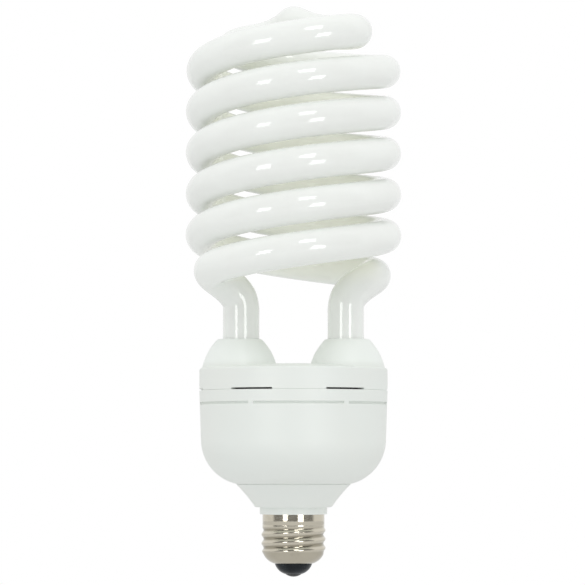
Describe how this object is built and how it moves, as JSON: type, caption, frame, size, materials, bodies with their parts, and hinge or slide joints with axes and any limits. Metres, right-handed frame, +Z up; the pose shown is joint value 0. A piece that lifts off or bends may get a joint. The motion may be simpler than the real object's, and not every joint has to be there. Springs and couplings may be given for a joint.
{
  "type": "spiral energy saving bulb",
  "caption": "Compact fluorescent bulb: a white double-helix glass tube on a round vented ballast housing with a medium screw base.",
  "frame": {"origin": "tip of the base's centre contact, on the lamp's axis", "axes": "+Z up along the lamp's axis from the contact to the tube's top, the tube's two legs in the XZ plane"},
  "size_m": [0.0888, 0.0888, 0.2349],
  "materials": {
    "shell_nickel": "rolled, nickel plated",
    "contact_solder": "solder tipped, tarnished dark",
    "insulator_black": "gloss",
    "housing_white": "satin",
    "coated_glass": "gloss, white coated inside",
    "cement_white": "matt",
    "board_tan": "matt",
    "solder_tin": "bright",
    "lead_tinned": "bright",
    "enamel_copper": "enamelled",
    "ferrite_black": "matt",
    "bobbin_white": "matt",
    "tape_yellow": "gloss",
    "sleeve_black": "gloss",
    "epoxy_black": "matt",
    "film_red": "gloss",
    "thermistor_green": "gloss",
    "fuse_grey": "matt",
    "wire_white": "gloss",
    "wire_brown": "gloss"
  },
  "bodies": {
    "root": {"screw_shell": "shell_nickel", "base_insulator": "insulator_black", "center_contact": "contact_solder", "lower_housing": "housing_white", "upper_cover": "housing_white", "glass_spiral": "coated_glass", "leg_cement_left": "cement_white", "leg_cement_right": "cement_white", "filament_lead_left_inner": "lead_tinned", "filament_lead_left_outer": "lead_tinned", "filament_lead_right_inner": "lead_tinned", "filament_lead_right_outer": "lead_tinned", "circuit_board": "board_tan", "wrap_posts": "lead_tinned", "solder_joints": "solder_tin", "bulk_capacitor": "sleeve_black", "choke_core": "ferrite_black", "choke_bobbin": "bobbin_white", "choke_winding": "tape_yellow", "toroid_core": "ferrite_black", "toroid_winding": "enamel_copper", "transistor_high": "epoxy_black", "transistor_low": "epoxy_black", "film_capacitor_a": "film_red", "film_capacitor_b": "film_red", "resonance_capacitor": "film_red", "filter_inductor_core": "ferrite_black", "filter_inductor_winding": "enamel_copper", "thermistor": "thermistor_green", "rectifier_diodes": "epoxy_black", "fuse_resistor": "fuse_grey", "contact_lead": "wire_brown", "live_wire": "wire_brown", "neutral_wire": "wire_white"}
  },
  "joints": []
}
